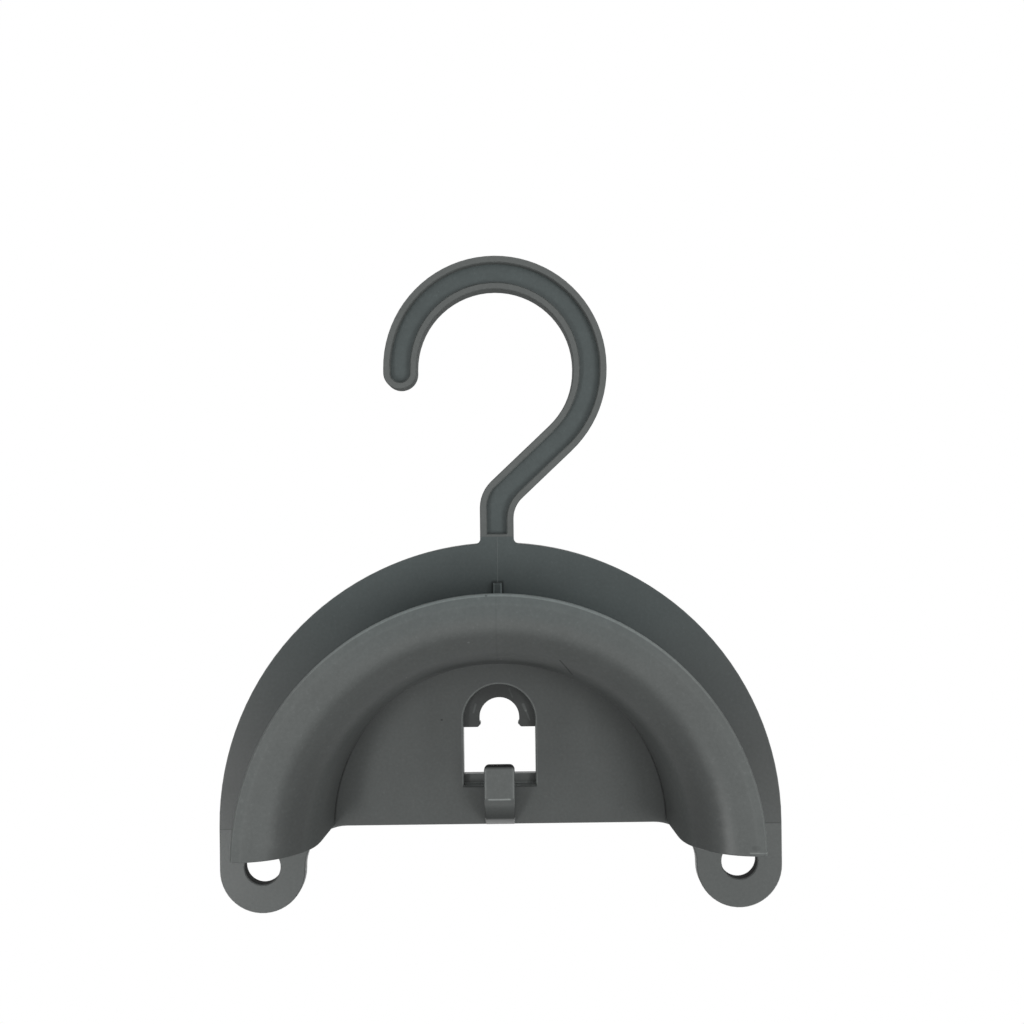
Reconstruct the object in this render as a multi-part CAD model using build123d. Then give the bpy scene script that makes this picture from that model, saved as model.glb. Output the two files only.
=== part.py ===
from build123d import *
import math
import os

# A hose hanger moulded in one piece. All sizes are in millimetres.
# It is drawn from the front: x runs right, y runs up and z comes forward from the plate's front face,
# with the centre of the half-round plate at the origin. The last step turns it upright.

# Back plate: a half disc with a rounded tab below each end
plate_radius = 80.0
plate_wall = 3.0
tab_radius = 12.15
tab_drop = 12.5
tab_inner_fillet = 12.0
tab_hole_radius = 5.1
tab_hole_rise = 1.1

# Saddle: a half-round wall that flares outward to a lip, so a hose lies behind it
saddle_inner_radius = 47.2
saddle_wall = 3.0
saddle_straight = 14.9
saddle_flare = 18.0
lip_flange = 2.05
lip_edge_break = 0.5
saddle_wall_draft = 3.0
saddle_end_draft = 1.5

# Hook: a question mark with a channel between two rims
hook_thickness = 5.2
hook_width = 9.57
bow_radius = 27.03
tip_drop = 1.1
bow_drop = 0.6
neck_angle = 43.0
stem_rise = 12.35
stem_outer_bend = 10.5
stem_inner_bend = 8.0
stem_root_fillet = 1.4
channel_rim = 2.0
channel_depth = 2.3
channel_foot = 2.5

# Keyhole: an arched pocket in the web, with a ledge behind it that a screw head hangs on
pocket_half_width = 10.25
pocket_arch_height = 29.5
pocket_floor_height = 10.8
pocket_depth = 3.2
boss_wall = 2.0
slot_half_width = 5.7
slot_arch_height = 29.8
slot_mouth_round = 0.8
slot_nub_radius = 0.6
slot_nub_proud = 0.35
slot_nub_rise = 1.1
ledge_height = 27.0
sill_height = 13.6

# Strap hook at the foot of the web
strap_hook_width = 8.45
strap_hook_wall = 3.0
strap_hook_reach = 11.0
strap_hook_crease = 10.0
strap_hook_height = 19.1
strap_hook_lean = 1.0
strap_hook_bow = 1.1
strap_hook_corner = 1.4
strap_hook_edge_round = 0.5

# Rib on the plate in the middle of the groove, and the stiffening rim behind the plate
groove_rib_width = 2.4
groove_rib_proud = 2.7
groove_rib_top = 68.6
rear_rim_width = 2.4

# Broken moulded edges, and the share of a wall that a break at its edge may take
edge_break = 0.3
saddle_end_break = 0.35
break_share = 0.45

# Derived places
tab_centre = plate_radius - tab_radius
wall_draft = math.radians(saddle_wall_draft)
flare_rise = saddle_straight + saddle_flare * math.sin(wall_draft)
flare_radius = saddle_inner_radius + flare_rise * math.tan(wall_draft) + saddle_flare * math.cos(wall_draft)
lip_radius = flare_radius + lip_flange
saddle_depth = saddle_straight + saddle_flare
groove_floor_radius = saddle_inner_radius + saddle_wall / math.cos(wall_draft)
half_hook = hook_width / 2
neck = math.radians(neck_angle)
bow_end_angle = 90.0 - neck_angle
bow_end = math.radians(bow_end_angle)
stem_corner_height = plate_radius + stem_rise
neck_length = bow_radius * math.cos(bow_end) / math.cos(neck)
bow_height = stem_corner_height + neck_length * math.sin(neck) + bow_radius * math.sin(bow_end) + bow_drop
seat_height = bow_height + bow_radius - half_hook


def plate_outline():
    """Half disc, its two tabs and the straight base line between them."""
    tab_inner = tab_centre - tab_radius
    inner_fillet = min(tab_inner_fillet, tab_drop - edge_break)
    base = FilletPolyline(
        (-tab_inner, -tab_drop), (-tab_inner, 0), (tab_inner, 0), (tab_inner, -tab_drop), radius=inner_fillet
    )
    edges = [
        CenterArc((0, 0), plate_radius, 0, 180),
        Line((-plate_radius, 0), (-plate_radius, -tab_drop)),
        CenterArc((-tab_centre, -tab_drop), tab_radius, 180, 180),
        base,
        CenterArc((tab_centre, -tab_drop), tab_radius, 180, 180),
        Line((plate_radius, -tab_drop), (plate_radius, 0)),
    ]
    outline = make_face(Curve() + edges)
    hole = Circle(tab_hole_radius)
    hole_height = tab_hole_rise - tab_drop
    return outline - Pos(tab_centre, hole_height) * hole - Pos(-tab_centre, hole_height) * hole


def hook_band(inset, foot_height):
    """The hook's outline, drawn in by inset on every side and cut square at foot_height."""
    half = half_hook - inset
    inner = bow_radius - half
    outer = bow_radius + half
    corner_shift = half * math.tan((math.pi / 2 - neck) / 2)
    bow_exit = Vector(math.cos(bow_end), -math.sin(bow_end))
    centre = Vector(0, bow_height)
    lower_centre = Vector(0, bow_height - bow_drop)
    tip_height = bow_height - tip_drop
    left_side = FilletPolyline(
        (-half, foot_height),
        (-half, stem_corner_height + corner_shift),
        lower_centre + bow_exit * inner,
        radius=stem_outer_bend - inset,
    )
    right_side = FilletPolyline(
        lower_centre + bow_exit * outer,
        (half, stem_corner_height - corner_shift),
        (half, foot_height),
        radius=stem_inner_bend + inset,
    )
    edges = [
        left_side,
        CenterArc(lower_centre, inner, -bow_end_angle, bow_end_angle),
        Line((inner, bow_height - bow_drop), (inner, bow_height)),
        CenterArc(centre, inner, 0, 180),
        Line((-inner, bow_height), (-inner, tip_height)),
        CenterArc((-bow_radius, tip_height), half, 0, -180),
        Line((-outer, tip_height), (-outer, bow_height)),
        CenterArc(centre, outer, 180, -180),
        Line((outer, bow_height), (outer, bow_height - bow_drop)),
        CenterArc(lower_centre, outer, 0, -bow_end_angle),
        right_side,
        Line((half, foot_height), (-half, foot_height)),
    ]
    return make_face(Curve() + edges)


def arch(half_width, arch_height, foot_height):
    """A doorway outline: straight sides, round top and square foot."""
    edges = [
        Line((-half_width, foot_height), (half_width, foot_height)),
        Line((half_width, foot_height), (half_width, arch_height)),
        CenterArc((0, arch_height), half_width, 0, 180),
        Line((-half_width, arch_height), (-half_width, foot_height)),
    ]
    return make_face(Curve() + edges)


def keyhole():
    """The opening through the web: a wide window below, a round-topped slot above and a nub each side of its mouth."""
    window = Rectangle(2 * pocket_half_width, ledge_height - sill_height, align=(Align.CENTER, Align.MIN))
    opening = Pos(0, sill_height) * window + arch(slot_half_width, slot_arch_height, sill_height)
    mouth = [opening.vertices().sort_by_distance((side * slot_half_width, ledge_height, 0))[0] for side in (-1, 1)]
    opening = fillet(mouth, slot_mouth_round)
    nub_place = slot_half_width + slot_nub_radius - slot_nub_proud
    nub = Circle(slot_nub_radius)
    nub_height = ledge_height + slot_nub_rise
    return opening - Pos(nub_place, nub_height) * nub - Pos(-nub_place, nub_height) * nub


def half_disc(radius):
    edges = [CenterArc((0, 0), radius, 0, 180), Line((-radius, 0), (radius, 0))]
    return make_face(Curve() + edges)


def half_ring(inner_radius, outer_radius):
    return half_disc(outer_radius) - half_disc(inner_radius)


def slab(sketch, back, front):
    """A sketch made solid between two depths."""
    return extrude(Pos(0, 0, back) * sketch, amount=front - back, dir=(0, 0, 1))


def flare_point(radius):
    """Where the drafted wall runs into the flare, on the arc of the given radius."""
    across = Vector(-math.cos(wall_draft), math.sin(wall_draft)) * radius
    return Vector(flare_radius, saddle_straight) + across


def saddle():
    """The trumpet section turned half round, with its two ends drafted back from the mould's parting line."""
    groove_flare = saddle_flare - saddle_wall
    lip_back = saddle_depth - saddle_wall
    lip_break = min(lip_edge_break, break_share * saddle_wall)
    turn = 90 - saddle_wall_draft
    section_edges = [
        Line((saddle_inner_radius, 0), flare_point(saddle_flare)),
        CenterArc((flare_radius, saddle_straight), saddle_flare, 180 - saddle_wall_draft, -turn),
        Polyline(
            (flare_radius, saddle_depth),
            (lip_radius - lip_break, saddle_depth),
            (lip_radius, saddle_depth - lip_break),
            (lip_radius, lip_back + lip_break),
            (lip_radius - lip_break, lip_back),
            (flare_radius, lip_back),
        ),
        CenterArc((flare_radius, saddle_straight), groove_flare, 90, turn),
        Line(flare_point(groove_flare), (groove_floor_radius, 0)),
        Line((groove_floor_radius, 0), (saddle_inner_radius, 0)),
    ]
    section = Plane.XZ * make_face(Curve() + section_edges)
    ring = revolve(section, Axis.Z, revolution_arc=180)
    reach = 2 * saddle_depth
    rise = reach * math.tan(math.radians(saddle_end_draft))
    wedge = Plane.YZ * make_face(Polyline((0, 0), (0, reach), (rise, reach), close=True))
    ring -= extrude(wedge, amount=2 * lip_radius, both=True)
    end_edges = ring.edges().filter_by(lambda edge: edge.bounding_box().max.Y < rise)
    free_edges = end_edges.filter_by(lambda edge: edge.bounding_box().max.Z > saddle_end_break)
    ring = chamfer(free_edges, saddle_end_break)
    return ring + slab(half_ring(saddle_inner_radius, groove_floor_radius), -plate_wall / 2, 0)


def groove_rib():
    """Short upright rib on the plate, from the groove floor towards the rim."""
    foot = groove_floor_radius - saddle_wall / 2
    outline = Pos(0, (foot + groove_rib_top) / 2) * Rectangle(groove_rib_width, groove_rib_top - foot)
    rib = slab(outline, -plate_wall / 2, groove_rib_proud)
    return chamfer(rib.faces().sort_by(Axis.Z)[-1].edges(), edge_break)


def strap_hook():
    """Open hook: it leaves the web's foot, bows forward and up to a crease, then stands upright."""
    foot = Vector(0, 0)
    crease = Vector(strap_hook_crease, strap_hook_reach)
    top = Vector(strap_hook_height, strap_hook_reach - strap_hook_lean)
    sagitta = (crease - foot).normalized().rotate(Axis.Z, 90) * strap_hook_bow
    underside = ThreePointArc(foot, (foot + crease) / 2 + sagitta, crease)
    side = Curve() + [Line((0, -plate_wall / 2), foot), underside, Line(crease, top)]
    profile = make_face(offset(side, strap_hook_wall, side=Side.RIGHT, kind=Kind.INTERSECTION))
    hook = extrude(Plane.YZ * profile, amount=strap_hook_width / 2, both=True)
    top_corners = hook.faces().sort_by(Axis.Y)[-1].edges().filter_by(Axis.X, reverse=True)
    hook = fillet(top_corners, strap_hook_corner)
    front_face = hook.faces().sort_by(Axis.Z)[-1]
    underside_face = hook.faces().filter_by(GeomType.CYLINDER).sort_by(Axis.Y)[0]
    side_edges = underside_face.edges().filter_by(Axis.X, reverse=True)
    return fillet(front_face.edges() + side_edges, strap_hook_edge_round)


def base_slab():
    """Plate, tabs, web and hook, with the channel and keyhole cut in and the edges broken."""
    front = plate_outline() + hook_band(0, plate_radius / 2)
    roots = front.vertices().sort_by_distance((0, plate_radius, 0))[:2]
    front = fillet(roots, stem_root_fillet)
    boss = arch(pocket_half_width + boss_wall, pocket_arch_height, pocket_floor_height - boss_wall)
    rear_rim = half_ring(plate_radius - rear_rim_width, plate_radius)
    rear = rear_rim + hook_band(0, plate_radius - rear_rim_width) + boss
    body = slab(front, -plate_wall, 0) + slab(rear, -hook_thickness, -plate_wall)
    body -= slab(hook_band(channel_rim, plate_radius + channel_foot), -channel_depth, 0)
    body -= slab(arch(pocket_half_width, pocket_arch_height, pocket_floor_height), -pocket_depth, 0)
    body -= slab(keyhole(), -hook_thickness, 0)
    front_edges = body.faces().sort_by(Axis.Z)[-1].edges()
    return chamfer(front_edges, edge_break)


def hanger():
    return base_slab() + saddle() + groove_rib() + strap_hook()


os.makedirs("parts", exist_ok=True)
upright = Plane(origin=(0, -hook_thickness / 2, -seat_height), x_dir=(1, 0, 0), z_dir=(0, -1, 0))
hanger_body = upright * hanger()
export_step(hanger_body, "parts/hanger_body.step")
print("hanger_body", hanger_body.bounding_box().size, hanger_body.volume)
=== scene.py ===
import math
import bpy
from mathutils import Matrix, Vector


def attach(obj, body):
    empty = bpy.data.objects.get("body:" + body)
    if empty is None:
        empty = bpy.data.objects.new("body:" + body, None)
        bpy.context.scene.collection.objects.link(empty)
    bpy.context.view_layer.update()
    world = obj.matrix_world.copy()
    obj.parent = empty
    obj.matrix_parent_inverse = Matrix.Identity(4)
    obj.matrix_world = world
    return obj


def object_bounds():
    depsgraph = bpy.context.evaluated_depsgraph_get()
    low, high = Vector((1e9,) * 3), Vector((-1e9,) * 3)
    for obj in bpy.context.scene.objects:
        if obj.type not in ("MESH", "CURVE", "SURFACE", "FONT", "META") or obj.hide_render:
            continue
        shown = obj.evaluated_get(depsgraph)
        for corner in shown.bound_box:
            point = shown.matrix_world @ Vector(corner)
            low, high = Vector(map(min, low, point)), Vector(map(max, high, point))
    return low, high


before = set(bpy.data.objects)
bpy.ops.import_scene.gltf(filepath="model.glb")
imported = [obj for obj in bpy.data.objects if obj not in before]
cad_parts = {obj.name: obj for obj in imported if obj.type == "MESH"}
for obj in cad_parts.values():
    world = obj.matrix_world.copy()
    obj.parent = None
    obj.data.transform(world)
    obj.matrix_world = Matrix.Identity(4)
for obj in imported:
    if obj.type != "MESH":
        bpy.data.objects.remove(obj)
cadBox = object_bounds()
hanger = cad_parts["hanger_body"]
mm = 0.001
print("frame loaded")

# Where things lie on the hanger, in mm. Heights count up from the centre of the half-round plate,
# and forward counts towards the viewer from the plate's front face.
layout = {
    "tabFoot": 24.65,        # from the plate's centre down to the foot of the tabs
    "bodyThickness": 5.2,    # from the back of the hook to the plate's front face
    "wallFoot": 47.2,        # radius inside the saddle where its wall meets the web
    "grooveFoot": 50.2,      # radius where its other side meets the plate
    "flareCentre": 66.0,     # radius of the circle that the saddle's flare curls round
    "flareStart": 14.9,      # how far forward that circle lies
    "wallMiddle": 16.5,      # from that circle to the middle of the saddle's wall
    "lipRadius": 68.05,
    "lipFront": 32.9,
    "stemFoot": 81.7,        # height at which the hook's stem begins
    "slideFoot": -0.62,      # height of the line where the mould's slides met the tabs
    "ribTop": 68.6,
    "archHeight": 29.5,      # centre of the pocket's arch
    "archRadius": 10.25,
    "pocketFloor": 10.8,
    "sill": 13.6,            # top of the low wall across the pocket's foot
    "ledge": 27.0,
    "holeSide": 67.85,       # centre of a tab's hole
    "holeHeight": -11.4,
    "holeRadius": 5.1,
    "strapTip": 19.1,        # top of the strap hook
    "strapSide": 4.225,
    "strapCrease": 10.0,
}
plateFront = cadBox[1].y - layout["bodyThickness"] * mm
plateCentre = Vector((0, plateFront, cadBox[0].z + layout["tabFoot"] * mm))


def hexToLinear(code):
    values = [int(code[i:i + 2], 16) / 255 for i in (1, 3, 5)]
    linear = [v / 12.92 if v <= 0.04045 else ((v + 0.055) / 1.055) ** 2.4 for v in values]
    return (*linear, 1.0)


# Adds one node. A setting is an attribute, and an input is a value or the socket that feeds it.
def addNode(tree, kind, settings={}, inputs={}):
    node = tree.nodes.new(kind)
    for name, value in settings.items():
        setattr(node, name, value)
    for name, value in inputs.items():
        if isinstance(value, bpy.types.NodeSocket):
            tree.links.new(value, node.inputs[name])
        else:
            node.inputs[name].default_value = value
    return node


# Joins the CAD faces for shading, so that a broken edge catches light as the small round of a mould does.
edges = {
    "weld": 0.002,           # mm
    "sharpFrom": 50.0,       # degrees, a harder turn stays a crisp edge
    "weight": 50,            # even share of large and small faces in the normals
}


def softEdges(piece):
    tree = bpy.data.node_groups.new("softEdges", "GeometryNodeTree")
    tree.interface.new_socket("Geometry", in_out="INPUT", socket_type="NodeSocketGeometry")
    tree.interface.new_socket("Geometry", in_out="OUTPUT", socket_type="NodeSocketGeometry")
    start = addNode(tree, "NodeGroupInput")
    welded = addNode(tree, "GeometryNodeMergeByDistance", {}, {
        "Geometry": start.outputs[0], "Distance": edges["weld"] * mm})
    bare = addNode(tree, "GeometryNodeRemoveAttribute", {}, {
        "Geometry": welded.outputs[0], "Name": "custom_normal"})
    turn = addNode(tree, "GeometryNodeInputMeshEdgeAngle")
    gentle = addNode(tree, "FunctionNodeCompare", {"data_type": "FLOAT", "operation": "LESS_THAN"}, {
        0: turn.outputs["Unsigned Angle"], 1: math.radians(edges["sharpFrom"])})
    smooth = addNode(tree, "GeometryNodeSetShadeSmooth", {"domain": "EDGE"}, {
        "Geometry": bare.outputs[0], "Shade Smooth": gentle.outputs[0]})
    addNode(tree, "NodeGroupOutput", {}, {0: smooth.outputs[0]})
    piece.modifiers.new("softEdges", "NODES").node_group = tree
    weighted = piece.modifiers.new("evenNormals", "WEIGHTED_NORMAL")
    weighted.mode = "FACE_AREA"
    weighted.weight = edges["weight"]
    weighted.keep_sharp = True


softEdges(hanger)
print("edges softened")

# Moulded polypropylene, by its look. A spark-eroded mould leaves a fine even grain that scatters light, so the faces
# look soft and neutral. In groove and channel, where polished slides may have formed it, it is darker and cooler,
# and the cooler tone that grows towards the top of the plate and the flange is painted cool light from above.
plastic = {
    "grainColour": "#575a59",
    # darker and cooler colour of the polished slides' faces; towards the top it also paints cool light from above
    "slideAndCoolLightColour": "#4d5454",
    "grainRoughness": 0.32,
    "slideRoughness": 0.34,
    "coarseRoughness": 0.90,  # deep inside the saddle and on edges, where the photograph shows no shine
    "specular": 0.22,
    "ior": 1.49,
    "grainSize": 0.9,         # mm, drawn about twice as coarse as the real grain so that it shows
    "grainDetail": 3.0,
    "grainHeight": 0.006,     # mm
    "mottleSize": 9.0,        # mm, faint flow marks
    "mottleDetail": 4.0,
    "noiseRoughness": 0.6,
    # Between two values of the noise the colour goes from one share to another
    "fleck": (0.3, 0.7, 0.94, 1.06),
    "cloud": (0.3, 0.7, 0.96, 1.04),
    "glint": (0.64, 0.80, 1.0, 1.18),
}

# A zone is a tuple of ramps, each with the coordinate, where it is outside and where it is inside
plateFace = (("forward", -0.35, -0.30), ("forward", 0.06, 0.04))
webFace = plateFace + (("radius", layout["wallFoot"] + 0.4, layout["wallFoot"] - 0.2),)
grooveFace = plateFace + (("radius", layout["grooveFoot"] - 0.3, layout["grooveFoot"] - 0.1),)
belowStem = ("height", layout["stemFoot"] + 0.1, layout["stemFoot"] - 0.1)
ledgeFace = (("forward", -2.9, -3.1), ("radius", 50.0, 49.0), ("facing", 0.5, 0.7),
             ("height", layout["ledge"] - 1, layout["ledge"]))
saddleInside = (("forward", 0.1, 0.3), ("radius", 46.0, 46.8),
                ("fromFlare", layout["wallMiddle"] - 0.1, layout["wallMiddle"] + 0.1))
strapHook = (("forward", 4.0, 5.0), ("side", layout["strapSide"] + 0.5, layout["strapSide"] + 0.2),
             ("height", layout["strapTip"] + 2, layout["strapTip"] + 1))

# Zones that polished slides may have formed, darker and cooler. The plate's zone that grows with height and the
# flange at the crown are painted cool light from above.
slideAndCoolLightZones = {
    # plate in the groove, its cooler tone growing with height: painted cool light from above
    "groovePlate": grooveFace + (("height", 15.0, 60.0), belowStem),
    "grooveWall": (("forward", 0.04, 0.06),
                   ("fromFlare", layout["wallMiddle"] + 0.1, layout["wallMiddle"] - 0.1)),
    # flange at the crown, cooler: painted cool light from above
    "crownFlange": saddleInside + (("radius", 60.5, 63.0), ("height", 45.0, 85.0)),
    "channelFloor": (("forward", -1.9, -2.1), ("height", 82.0, 82.2), ("facing", 0.5, 0.7)),
}
lipEdge = (("radius", layout["lipRadius"] - 0.7, layout["lipRadius"] - 0.45),
           ("forward", layout["lipFront"] - 1.2, layout["lipFront"] - 0.8))
tabHoles = (("fromHole", layout["holeRadius"] + 0.25, layout["holeRadius"] + 0.1), ("forward", -0.2, -0.4))
strapTip = strapHook + (("height", layout["strapTip"] - 1.2, layout["strapTip"] - 0.3),)
hookSides = (("height", layout["stemFoot"], layout["stemFoot"] + 0.2),
             ("facing", 0.5, 0.3), ("facing", -0.5, -0.3))

# Zones kept matt, as the photograph shows no shine there
coarseZones = {
    "saddleFoot": saddleInside + (("forward", 26.0, 22.0),),
    "hookSides": hookSides,
    "lip": (("radius", 65.0, 66.0), ("forward", layout["lipFront"] - 2.0, layout["lipFront"] - 1.5)),
    "tabHoles": tabHoles,
    "strapTip": strapTip,
    "strapFoot": strapHook + (("height", layout["strapCrease"] - 1.5, layout["strapCrease"] - 3.0),),
}

# Places that are lighter or darker, with the share of the colour that they keep, matched to the photograph. Most
# are painted shade, painted light and painted highlights; the tabs' line, the parting line and the weld line are
# marks of the mould.
tones = {
    # painted shade: the web darker between the saddle's walls
    "web": (0.84, webFace),
    "tabs": (1.06, grooveFace + (("height", layout["slideFoot"] + 0.05, layout["slideFoot"] - 0.05),)),
    "tabLine": (0.55, plateFace + (("side", 62.0, 63.0),
                                   ("height", layout["slideFoot"] - 0.25, layout["slideFoot"]),
                                   ("height", layout["slideFoot"] + 0.25, layout["slideFoot"]))),
    # painted shade in the walls of the tabs' holes
    "tabHoles": (0.15, tabHoles),
    # painted shade on the pocket's ledge under its arch
    "ledge": (0.48, ledgeFace),
    # more painted shade at the top of the ledge
    "ledgeTop": (0.65, ledgeFace + (("height", 33.0, 37.0),)),
    # painted light on the low wall across the pocket's foot
    "sill": (1.05, (("forward", -2.0, -2.5), ("facing", 0.5, 0.7), ("radius", 50.0, 49.0),
                    ("side", layout["archRadius"] + 0.2, layout["archRadius"]),
                    ("height", layout["sill"] + 0.3, layout["sill"] + 0.1))),
    # painted light on the pocket's floor, which lies in shade
    "pocketFloor": (2.00, (("forward", -0.3, -0.6), ("forward", -3.3, -3.2),
                           ("side", layout["archRadius"] + 0.2, layout["archRadius"]),
                           ("height", layout["pocketFloor"] + 0.4, layout["pocketFloor"] + 0.2),
                           ("height", layout["pocketFloor"] - 0.3, layout["pocketFloor"] - 0.1))),
    # painted shade on the web under the saddle's crown
    "webCrown": (0.92, webFace + (("height", 36.0, 44.0),)),
    # painted shade on the web beside the saddle's walls
    "webEdge": (0.88, webFace + (("radius", 40.0, 46.0),)),
    # painted shade on the middle of the web
    "webMiddle": (0.90, plateFace + (("side", 24.0, 19.0), ("height", 12.0, 20.0), ("radius", 47.0, 40.0))),
    # painted highlight along the edge of the pocket's arch
    "archEdge": (1.90, (("forward", -0.6, -0.4), ("forward", 0.06, 0.04),
                        ("fromArch", layout["archRadius"] - 0.15, layout["archRadius"] - 0.05),
                        ("fromArch", layout["archRadius"] + 0.6, layout["archRadius"] + 0.3),
                        ("height", layout["pocketFloor"], layout["pocketFloor"] + 1))),
    # painted shade on the top of the strap hook
    "strapTip": (0.10, strapTip),
    # painted highlight along the strap hook's crease
    "strapCrease": (2.40, strapHook + (("side", layout["strapSide"] - 0.9, layout["strapSide"] - 1.4),
                                       ("height", layout["strapCrease"] - 0.4, layout["strapCrease"] - 0.15),
                                       ("height", layout["strapCrease"] + 0.3, layout["strapCrease"] + 0.1))),
    # painted light on the strap hook's upper face
    "strapFace": (1.12, strapHook + (("height", layout["strapCrease"] + 0.3, layout["strapCrease"] + 0.6),)),
    # painted shade on the strap hook's lower face towards its foot
    "strapFoot": (0.52, strapHook + (("height", layout["strapCrease"] - 1.5, layout["strapCrease"] - 6.0),)),
    # painted highlights along the strap hook's side edges
    "strapEdges": (1.25, strapHook + (("side", layout["strapSide"] - 0.8, layout["strapSide"] - 0.55),
                                      ("side", layout["strapSide"] - 0.05, layout["strapSide"] - 0.25),
                                      ("height", layout["strapCrease"], layout["strapCrease"] + 0.4))),
    # painted shade on the plate low in the groove at the sides
    "plateSides": (0.84, grooveFace + (("height", layout["slideFoot"] - 0.05, layout["slideFoot"] + 0.05),
                                       ("height", 55.0, 35.0))),
    # painted light on the plate at the top of the groove
    "plateCrown": (1.12, grooveFace + (("height", 50.0, 70.0), belowStem)),
    "ribShade": (0.45, plateFace + (("side", 2.0, 1.5), ("radius", 60.0, 61.0),
                                    ("height", layout["ribTop"] + 0.9, layout["ribTop"] + 0.3))),
    # painted highlights along the rib's edges
    "ribEdges": (2.00, (("forward", 1.9, 2.2), ("side", 0.75, 0.9), ("side", 1.4, 1.25),
                        ("height", layout["ribTop"] + 0.2, layout["ribTop"] + 0.1), ("radius", 62.0, 64.0),
                        ("forward", 4.0, 3.0))),
    "partingLine": (1.10, (("forward", 0.0, 0.01), ("forward", 0.3, 0.2), ("side", 0.3, 0.2),
                           ("height", layout["stemFoot"] + 0.1, layout["stemFoot"]),
                           ("height", layout["ribTop"], layout["ribTop"] + 0.1))),
    # painted light on the floor of the hook's channel
    "channel": (1.12, slideAndCoolLightZones["channelFloor"]),
    # painted light on the hook's sides
    "hookSides": (1.25, hookSides),
    # painted light on the hook's rims
    "hookRim": (1.25, plateFace + (("height", layout["stemFoot"], layout["stemFoot"] + 0.2),)),
    # painted shade on the saddle's flare at its sides
    "flareSides": (0.82, saddleInside + (("radius", 57.5, 54.0), ("radius", 49.5, 51.5),
                                         ("height", 40.0, 15.0))),
    # painted light low on the saddle's inner wall at its sides
    "saddleSides": (1.25, saddleInside + (("radius", 51.5, 49.5), ("radius", 47.4, 48.2),
                                          ("height", 30.0, 15.0))),
    # painted shade on the inner flare below the sheen
    "flareFoot": (0.74, saddleInside + (("radius", 59.5, 57.0),)),
    # painted shade under the saddle's crown
    "saddleCrown": (0.67, saddleInside + (("radius", 51.5, 49.5), ("height", 44.0, 48.0))),
    # painted sheen: a lighter band along the saddle's flange
    "flange": (1.12, saddleInside + (("radius", 57.5, 60.5),)),
    # painted light on the flange at the crown
    "crownFlange": (1.04, saddleInside + (("radius", 60.5, 63.0), ("height", 45.0, 64.0))),
    "weldLine": (0.93, saddleInside + (("side", 0.35, 0.1), ("height", 40.0, 45.0))),
    # painted shade in the corner where the saddle's wall meets the web
    "wallFoot": (0.35, (("forward", -0.5, -0.3), ("forward", 1.0, 0.4),
                        ("radius", layout["wallFoot"] - 0.5, layout["wallFoot"] - 0.1),
                        ("radius", layout["wallFoot"] + 1.0, layout["wallFoot"] + 0.4),
                        ("height", 30.0, 18.0), ("height", 0.0, 2.0))),
    # painted light on the flat of the lip
    "lipBand": (1.14, coarseZones["lip"]),
    # painted highlight along the lip's edge
    "lipEdge": (1.30, lipEdge),
    # painted highlight along the lip's edge at the crown
    "lipCrown": (1.60, lipEdge + (("height", 35.0, 60.0),)),
}

# Specks and scratches, and a painted glint at the lower end of the right lip: where they start and end, across,
# forward and up in mm, their width, and their shade
marks = (
    ((-16.4, 0.0, 29.8), (-16.3, 0.0, 29.8), 0.35, 0.45),
    ((-2.5, 32.7, 67.6), (-2.4, 32.7, 67.6), 0.40, 0.55),
    ((1.0, 23.7, 50.4), (1.1, 23.7, 50.4), 0.35, 1.7),
    ((-7.2, 29.8, 55.5), (-7.1, 29.8, 55.5), 0.35, 1.5),
    ((-23.5, 26.0, 46.0), (-23.4, 26.0, 46.0), 0.30, 1.6),
    ((16.3, 27.1, 50.2), (18.0, 25.4, 48.1), 0.30, 0.45),
    ((18.0, 25.4, 48.1), (19.6, 23.1, 46.0), 0.30, 0.45),
    # painted glint at the lower end of the right lip
    ((63.5, 32.8, 1.75), (67.8, 32.7, 1.75), 0.25, 1.8),
    ((64.5, 32.8, 3.0), (65.5, 32.8, 3.0), 0.80, 0.85),
    ((-6.8, -3.2, 33.5), (-7.4, -3.2, 31.2), 0.35, 1.6),
    ((6.9, -3.2, 33.3), (7.6, -3.2, 31.6), 0.50, 1.8),
    ((7.6, -3.2, 31.6), (8.7, -3.2, 28.9), 0.30, 1.6),
    ((2.9, -3.2, 37.8), (3.8, -3.2, 35.5), 0.30, 1.4),
)


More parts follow.
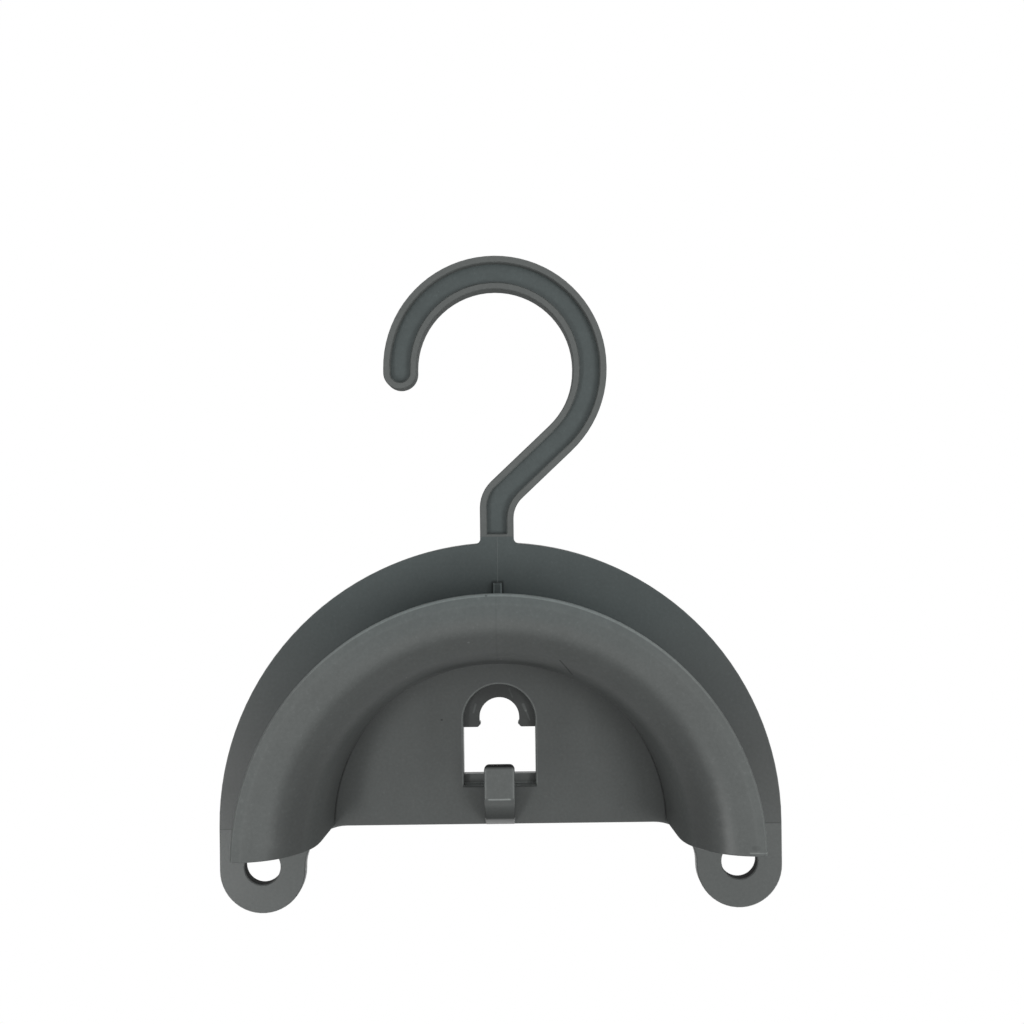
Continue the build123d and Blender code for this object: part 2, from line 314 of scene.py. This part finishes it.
def mouldedPlastic():
    material = bpy.data.materials.new("mouldedPolypropylene")
    material.use_nodes = True
    tree = material.node_tree
    tree.nodes.clear()
    place = addNode(tree, "ShaderNodeTexCoord").outputs["Object"]
    shifted = addNode(tree, "ShaderNodeVectorMath", {"operation": "SUBTRACT"}, {0: place, 1: plateCentre})
    local = addNode(tree, "ShaderNodeVectorMath", {"operation": "MULTIPLY"}, {
        0: shifted.outputs[0], 1: (1 / mm, -1 / mm, 1 / mm)}).outputs[0]
    axes = addNode(tree, "ShaderNodeSeparateXYZ", {}, {0: local})
    normal = addNode(tree, "ShaderNodeNewGeometry").outputs["Normal"]
    facing = addNode(tree, "ShaderNodeVectorMath", {"operation": "DOT_PRODUCT"}, {0: normal, 1: (0, -1, 0)})
    side = addNode(tree, "ShaderNodeMath", {"operation": "ABSOLUTE"}, {0: axes.outputs["X"]})
    flat = addNode(tree, "ShaderNodeVectorMath", {"operation": "MULTIPLY"}, {0: local, 1: (1, 0, 1)})
    radius = addNode(tree, "ShaderNodeVectorMath", {"operation": "LENGTH"}, {0: flat.outputs[0]})
    coordinates = {
        "side": side.outputs[0], "forward": axes.outputs["Y"], "height": axes.outputs["Z"],
        "radius": radius.outputs["Value"], "facing": facing.outputs["Value"],
    }
    # Distances in a section: two coordinates, the point to measure from, and the least value of the second
    distances = {
        "fromFlare": ("radius", layout["flareCentre"], "forward", layout["flareStart"], 0.0),
        "fromHole": ("side", layout["holeSide"], "height", layout["holeHeight"], -100.0),
        "fromArch": ("side", 0.0, "height", layout["archHeight"], 0.0),
    }
    for name, (first, firstPlace, second, secondPlace, least) in distances.items():
        across = addNode(tree, "ShaderNodeMath", {"operation": "SUBTRACT"}, {
            0: coordinates[first], 1: firstPlace})
        along = addNode(tree, "ShaderNodeMath", {"operation": "SUBTRACT"}, {
            0: coordinates[second], 1: secondPlace})
        along = addNode(tree, "ShaderNodeMath", {"operation": "MAXIMUM"}, {0: along.outputs[0], 1: least})
        pair = addNode(tree, "ShaderNodeCombineXYZ", {}, {"X": across.outputs[0], "Y": along.outputs[0]})
        apart = addNode(tree, "ShaderNodeVectorMath", {"operation": "LENGTH"}, {0: pair.outputs[0]})
        coordinates[name] = apart.outputs["Value"]

    # A zone is the product of its ramps, and where zones meet the larger holds
    def zoneMask(ramps):
        mask = None
        for name, outside, inside in ramps:
            ramp = addNode(tree, "ShaderNodeMapRange", {}, {
                0: coordinates[name], 1: outside, 2: inside}).outputs[0]
            if mask is not None:
                ramp = addNode(tree, "ShaderNodeMath", {"operation": "MULTIPLY"}, {
                    0: mask, 1: ramp}).outputs[0]
            mask = ramp
        return mask

    def anyMask(zones):
        masks = [zoneMask(ramps) for ramps in zones.values()]
        largest = masks[0]
        for mask in masks[1:]:
            largest = addNode(tree, "ShaderNodeMath", {"operation": "MAXIMUM"}, {
                0: largest, 1: mask}).outputs[0]
        return largest

    # mask of the polished slides' faces and of the painted cool light from above
    slideAndCoolLight = anyMask(slideAndCoolLightZones)

    grain = addNode(tree, "ShaderNodeTexNoise", {}, {
        "Vector": local, "Scale": 1 / plastic["grainSize"], "Detail": plastic["grainDetail"],
        "Roughness": plastic["noiseRoughness"]}).outputs["Fac"]
    mottle = addNode(tree, "ShaderNodeTexNoise", {}, {
        "Vector": local, "Scale": 1 / plastic["mottleSize"], "Detail": plastic["mottleDetail"],
        "Roughness": plastic["noiseRoughness"]}).outputs["Fac"]
    colour = addNode(tree, "ShaderNodeMix", {"data_type": "RGBA"}, {
        "Factor": slideAndCoolLight, 6: hexToLinear(plastic["grainColour"]), 7: hexToLinear(plastic["slideAndCoolLightColour"])})
    shade = 1.0
    for noise, name in ((grain, "fleck"), (mottle, "cloud"), (grain, "glint")):
        low, high, least, most = plastic[name]
        step = addNode(tree, "ShaderNodeMapRange", {}, {0: noise, 1: low, 2: high, 3: least, 4: most})
        shade = addNode(tree, "ShaderNodeMath", {"operation": "MULTIPLY"}, {
            0: shade, 1: step.outputs[0]}).outputs[0]
    for tone, ramps in tones.values():
        patch = addNode(tree, "ShaderNodeMapRange", {}, {0: zoneMask(ramps), 3: 1.0, 4: tone})
        shade = addNode(tree, "ShaderNodeMath", {"operation": "MULTIPLY"}, {
            0: shade, 1: patch.outputs[0]}).outputs[0]
    # The distance from a mark is taken to the nearest point of its line
    for start, end, width, tone in marks:
        run = Vector(end) - Vector(start)
        ahead = addNode(tree, "ShaderNodeVectorMath", {"operation": "SUBTRACT"}, {0: local, 1: start})
        share = addNode(tree, "ShaderNodeVectorMath", {"operation": "DOT_PRODUCT"}, {
            0: ahead.outputs[0], 1: run / run.length_squared})
        share = addNode(tree, "ShaderNodeClamp", {}, {0: share.outputs["Value"]})
        nearest = addNode(tree, "ShaderNodeVectorMath", {"operation": "SCALE"}, {
            0: run, "Scale": share.outputs[0]})
        away = addNode(tree, "ShaderNodeVectorMath", {"operation": "DISTANCE"}, {
            0: ahead.outputs[0], 1: nearest.outputs[0]})
        spot = addNode(tree, "ShaderNodeMapRange", {}, {
            0: away.outputs["Value"], 1: width / 2, 2: width, 3: tone, 4: 1.0})
        shade = addNode(tree, "ShaderNodeMath", {"operation": "MULTIPLY"}, {
            0: shade, 1: spot.outputs[0]}).outputs[0]
    tinted = addNode(tree, "ShaderNodeVectorMath", {"operation": "SCALE"}, {
        0: colour.outputs[2], "Scale": shade})
    rough = addNode(tree, "ShaderNodeMapRange", {}, {
        0: slideAndCoolLight, 3: plastic["grainRoughness"], 4: plastic["slideRoughness"]})
    rough = addNode(tree, "ShaderNodeMapRange", {}, {
        0: anyMask(coarseZones), 3: rough.outputs[0], 4: plastic["coarseRoughness"]})
    bump = addNode(tree, "ShaderNodeBump", {}, {
        "Height": grain, "Distance": plastic["grainHeight"] * mm, "Strength": 1.0})
    shader = addNode(tree, "ShaderNodeBsdfPrincipled", {}, {
        "Base Color": tinted.outputs[0], "Roughness": rough.outputs[0], "Normal": bump.outputs[0],
        "IOR": plastic["ior"], "Specular IOR Level": plastic["specular"]})
    addNode(tree, "ShaderNodeOutputMaterial", {}, {"Surface": shader.outputs[0]})
    return material


polypropylene = mouldedPlastic()
hanger.data.materials[0] = polypropylene
print("plastic on")

# The ridge that the parting of the mould left on the plate, from the stem's foot down to the rib, in mm
ridge = {
    "width": 0.40,
    "proud": 0.07,
    "sunk": 0.02,            # below the plate's face, so that it is seated
    "top": layout["stemFoot"] - 0.1,
    "foot": layout["ribTop"] - 0.3,
}


def partingRidge():
    half = ridge["width"] / 2
    section = ((-half, -ridge["sunk"]), (half, -ridge["sunk"]), (0.0, ridge["proud"]))
    corners = [plateCentre + Vector((x, -forward, height)) * mm
               for height in (ridge["foot"], ridge["top"]) for x, forward in section]
    faces = [(2, 1, 0), (3, 4, 5), (0, 1, 4, 3), (1, 2, 5, 4), (2, 0, 3, 5)]
    mesh = bpy.data.meshes.new("partingRidge")
    mesh.from_pydata(corners, [], faces)
    mesh.materials.append(polypropylene)
    piece = bpy.data.objects.new("partingRidge", mesh)
    bpy.context.scene.collection.objects.link(piece)
    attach(piece, "root")


partingRidge()
print("ridge on")

# Matt grey paint on the floor below the hung part, dull so that it throws little light up. The camera sees it
# paled by a share of white, with the part's shadow, and plain white further out.
floorPaint = {
    "drop": 0.15,            # m below the tabs
    "size": 0.48,            # ends where it has turned white, so the low lamps shine past it
    "colour": "#8c8c8c",
    "nearWhite": 0.72,       # share of white under the part
    "shadowRadius": 0.03,    # m from the middle to where that share begins to grow
    "whiteRadius": 0.23,     # m from the middle to where it is all white
}


def whiteToCamera(tree):
    path = addNode(tree, "ShaderNodeLightPath")
    seen = addNode(tree, "ShaderNodeMath", {"operation": "MAXIMUM"}, {
        0: path.outputs["Is Camera Ray"], 1: path.outputs["Is Glossy Ray"]})
    return addNode(tree, "ShaderNodeMath", {"operation": "MAXIMUM"}, {
        0: seen.outputs[0], 1: path.outputs["Is Transmission Ray"]}).outputs[0]


def paintedFloor():
    half = floorPaint["size"] / 2
    height = cadBox[0].z - floorPaint["drop"]
    mesh = bpy.data.meshes.new("floor")
    corners = [(-half, -half, height), (half, -half, height), (half, half, height), (-half, half, height)]
    mesh.from_pydata(corners, [], [(0, 1, 2, 3)])
    floor = bpy.data.objects.new("floor", mesh)
    bpy.context.scene.collection.objects.link(floor)
    material = bpy.data.materials.new("mattGreyPaint")
    material.use_nodes = True
    tree = material.node_tree
    tree.nodes.clear()
    paint = addNode(tree, "ShaderNodeBsdfDiffuse", {}, {"Color": hexToLinear(floorPaint["colour"])})
    glow = addNode(tree, "ShaderNodeEmission", {}, {"Strength": 1.0})
    place = addNode(tree, "ShaderNodeTexCoord").outputs["Object"]
    flat = addNode(tree, "ShaderNodeVectorMath", {"operation": "MULTIPLY"}, {0: place, 1: (1, 1, 0)})
    away = addNode(tree, "ShaderNodeVectorMath", {"operation": "LENGTH"}, {0: flat.outputs[0]})
    far = addNode(tree, "ShaderNodeMapRange", {"interpolation_type": "SMOOTHSTEP"}, {
        0: away.outputs["Value"], 1: floorPaint["shadowRadius"], 2: floorPaint["whiteRadius"],
        3: floorPaint["nearWhite"], 4: 1.0})
    share = addNode(tree, "ShaderNodeMath", {"operation": "MULTIPLY"}, {
        0: far.outputs[0], 1: whiteToCamera(tree)})
    mixed = addNode(tree, "ShaderNodeMixShader", {}, {
        0: share.outputs[0], 1: paint.outputs[0], 2: glow.outputs[0]})
    addNode(tree, "ShaderNodeOutputMaterial", {}, {"Surface": mixed.outputs[0]})
    mesh.materials.append(material)


# A pale room, bright ahead of the part and behind it, and strip lamps that draw the soft shine along the
# saddle. A glow has degrees up, degrees to the right and strength. A lamp has degrees up and to the right,
# then distance and size in m and power in W.
studio = {
    "ambient": 0.05,
    "glows": {
        "front": (14, 0, 0.84),
        "back": (25, 180, 1.7),
    },
    "spread": 2.0,                  # power of a glow's falloff
    "centre": (0, -0.01, 0.04),     # m from the plate's centre
    "lamps": {
        "leftStrip": (-16, -30, 0.60, (0.08, 0.28), 0.90),
        "rightStrip": (-6, 34, 0.90, (0.30, 0.42), 2.7),
        "lowStrip": (-37, 0, 0.90, (0.30, 0.08), 0.12),
        "rightEdge": (0, 68, 0.90, (0.12, 0.30), 0.3),
    },
}


def heading(up, right):
    rise, turn = math.radians(up), math.radians(right)
    return Vector((math.sin(turn) * math.cos(rise), -math.cos(turn) * math.cos(rise), math.sin(rise)))


def softLight():
    world = bpy.data.worlds.new("studio")
    world.use_nodes = True
    tree = world.node_tree
    tree.nodes.clear()
    towards = addNode(tree, "ShaderNodeTexCoord").outputs["Generated"]
    room = studio["ambient"]
    for up, right, bright in studio["glows"].values():
        ahead = addNode(tree, "ShaderNodeVectorMath", {"operation": "DOT_PRODUCT"}, {
            0: towards, 1: heading(up, right)})
        ahead = addNode(tree, "ShaderNodeMath", {"operation": "MAXIMUM"}, {0: ahead.outputs["Value"], 1: 0.0})
        ahead = addNode(tree, "ShaderNodeMath", {"operation": "POWER"}, {
            0: ahead.outputs[0], 1: studio["spread"]})
        room = addNode(tree, "ShaderNodeMath", {"operation": "MULTIPLY_ADD"}, {
            0: ahead.outputs[0], 1: bright, 2: room}).outputs[0]
    strength = addNode(tree, "ShaderNodeMapRange", {}, {0: whiteToCamera(tree), 3: room, 4: 1.0})
    sky = addNode(tree, "ShaderNodeBackground", {}, {"Color": (1, 1, 1, 1), "Strength": strength.outputs[0]})
    addNode(tree, "ShaderNodeOutputWorld", {}, {"Surface": sky.outputs[0]})
    bpy.context.scene.world = world
    centre = plateCentre + Vector(studio["centre"])
    centre.y = studio["centre"][1]
    for name, (up, right, distance, size, power) in studio["lamps"].items():
        lamp = bpy.data.lights.new(name, "AREA")
        lamp.shape = "RECTANGLE"
        lamp.size, lamp.size_y = size
        lamp.energy = power
        holder = bpy.data.objects.new(name, lamp)
        away = heading(up, right)
        holder.location = centre + away * distance
        holder.rotation_euler = (-away).to_track_quat("-Z", "Y").to_euler()
        bpy.context.scene.collection.objects.link(holder)


paintedFloor()
softLight()
print("studio set")

# Camera as the photograph shows it: level, close in front of the plate and rolled a little.
camera = {
    "place": (4.37, -294.1, 88.67),   # mm, height from the plate's centre
    "roll": 0.708,                    # degrees, clockwise
    "lens": 36.035,
    "sensor": 36.0,
    "near": 0.01,                     # m
}


def frontCamera():
    data = bpy.data.cameras.new("frontCamera")
    data.sensor_width = camera["sensor"]
    data.lens = camera["lens"]
    data.clip_start = camera["near"]
    view = bpy.data.objects.new("frontCamera", data)
    x, y, height = camera["place"]
    roll = math.radians(camera["roll"])
    right = Vector((math.cos(roll), 0, -math.sin(roll)))
    up = Vector((math.sin(roll), 0, math.cos(roll)))
    turn = Matrix((right, up, (0, -1, 0))).transposed().to_4x4()
    view.matrix_world = Matrix.Translation((x * mm, y * mm, plateCentre.z + height * mm)) @ turn
    bpy.context.scene.collection.objects.link(view)
    bpy.context.scene.camera = view


frontCamera()
bpy.context.scene.view_settings.view_transform = "Standard"
print("camera set")
